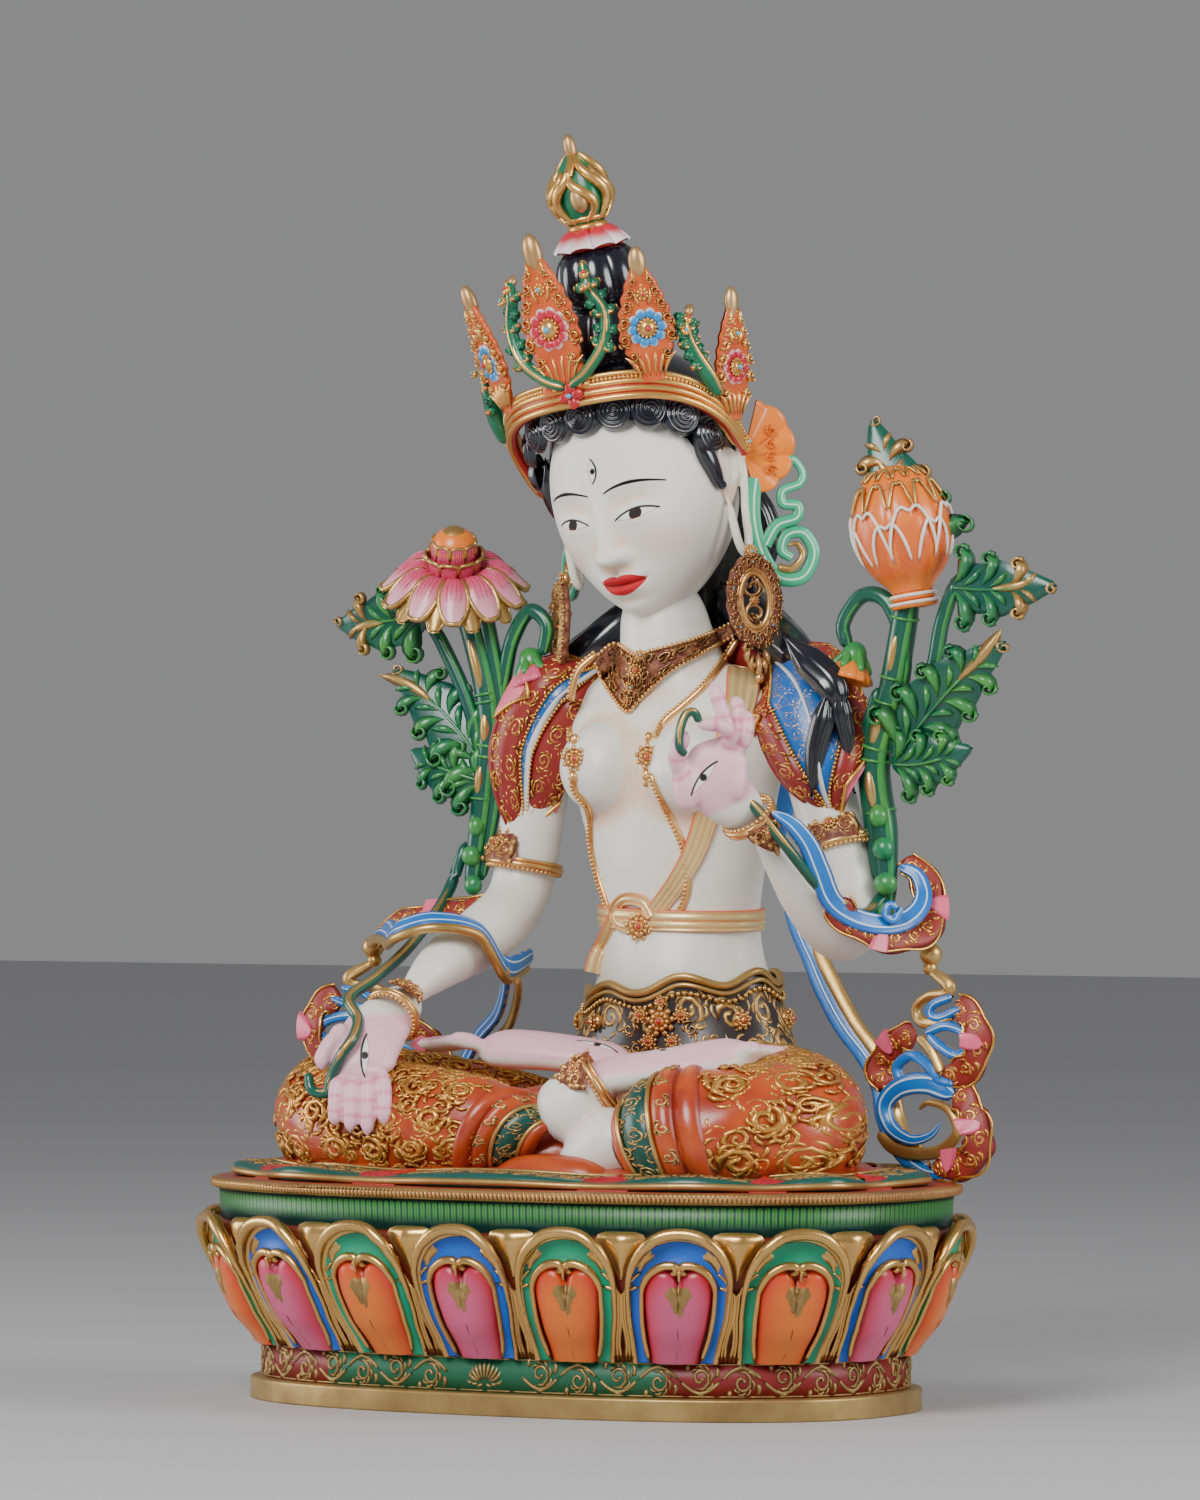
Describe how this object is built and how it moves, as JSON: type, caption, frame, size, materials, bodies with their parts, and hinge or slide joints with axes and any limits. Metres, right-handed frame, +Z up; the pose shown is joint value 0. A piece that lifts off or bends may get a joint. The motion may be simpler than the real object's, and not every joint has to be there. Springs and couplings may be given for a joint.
{
  "type": "seated tara figure",
  "caption": "Painted copper figure of the White Tara, seated cross-legged on an oval lotus base, one hand lowered and one raised, with a lotus at each shoulder.",
  "frame": {"origin": "on the ground, under the middle of the oval base", "axes": "+Z up, the figure faces -Y and its left is +X"},
  "size_m": [0.353, 0.208, 0.5038],
  "materials": {
    "base_paint": "gilded copper with petals painted red, orange, blue and teal",
    "figure_paint": "off-white body paint, black hair, gilded and red-washed garments",
    "crown_paint": "gilded scrollwork over orange, green between the leaves",
    "gilding": "gilded with a red-brown wash in the recesses",
    "ribbon_paint": "orange fans, mint green and gold ribbons",
    "spray_paint": "dark green with light green strokes, pink and orange blossoms",
    "scarf_paint": "bright blue with white lines, gold reverse and red frills"
  },
  "bodies": {
    "root": {"lotus_base": "base_paint", "figure": "figure_paint", "crown": "crown_paint", "topknot_jewel": "gilding", "crown_ribbon_right": "ribbon_paint", "crown_ribbon_left": "ribbon_paint", "earring_right": "gilding", "earring_left": "gilding", "lotus_spray_right": "spray_paint", "lotus_spray_left": "spray_paint", "scarf_right": "scarf_paint", "scarf_left": "scarf_paint"}
  },
  "joints": []
}
